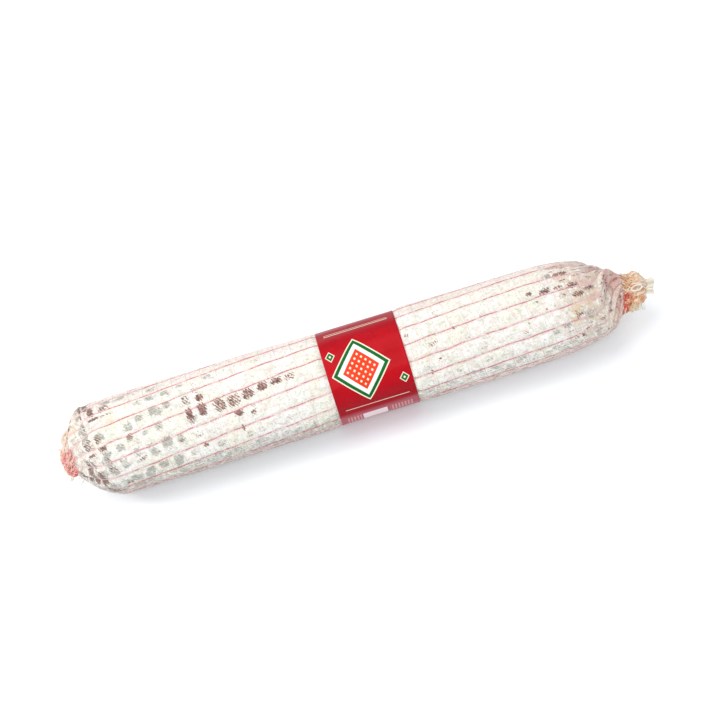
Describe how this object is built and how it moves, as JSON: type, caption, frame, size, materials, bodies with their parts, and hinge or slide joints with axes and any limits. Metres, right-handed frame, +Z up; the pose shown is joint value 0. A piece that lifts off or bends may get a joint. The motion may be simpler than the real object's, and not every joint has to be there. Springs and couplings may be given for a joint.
{
  "type": "whole dry-cured salami in a net",
  "caption": "Whole hungarian-style salami, a long white mould-dusted sausage in a tight net with a red paper band and gathered, tied ends.",
  "frame": {"origin": "on the table under the middle of the salami", "axes": "+X along the salami towards its long tufted end, +Z up, -Y towards the side that the label's print faces"},
  "size_m": [0.5706, 0.0918, 0.0894],
  "materials": {
    "casing": "matte, dusted with white mould, with grey-green and brown patches",
    "net_thread": "matte elastic thread, partly dusted with white mould",
    "label_paper": null,
    "tie_string": "matte twisted string"
  },
  "bodies": {
    "root": {"cased_sausage": "casing", "netting": "net_thread", "label_band": "label_paper", "tie_left": "tie_string", "tie_right": "tie_string"}
  },
  "joints": []
}
